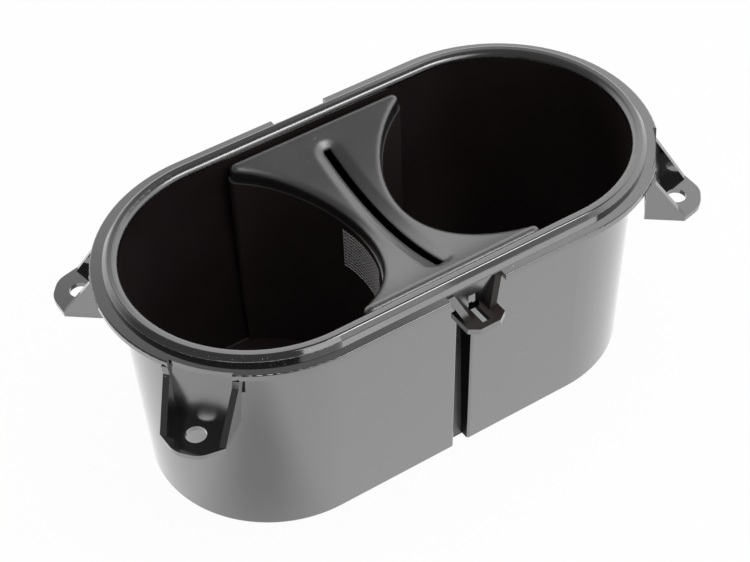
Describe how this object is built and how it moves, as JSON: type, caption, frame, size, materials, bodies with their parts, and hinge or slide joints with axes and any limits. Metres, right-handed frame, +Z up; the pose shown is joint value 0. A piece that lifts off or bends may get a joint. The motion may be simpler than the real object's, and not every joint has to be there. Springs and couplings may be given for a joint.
{
  "type": "car cup holder",
  "caption": "Drop-in twin cup holder for a car console: a glossy black round-ended tub with screw tabs and clip brackets, and a loose dished divider between its wells",
  "frame": {"origin": "middle of the underside of the tub, at the centre of the outline", "axes": "+X along the tub, +Y from the front bracket to the rear one, +Z up out of the wells"},
  "size_m": [0.1918, 0.1124, 0.0805],
  "materials": {
    "tub_plastic": "smooth gloss black, as moulded",
    "divider_plastic": "satin black, as moulded"
  },
  "bodies": {
    "root": {"tub": "tub_plastic", "divider": "divider_plastic"}
  },
  "joints": []
}
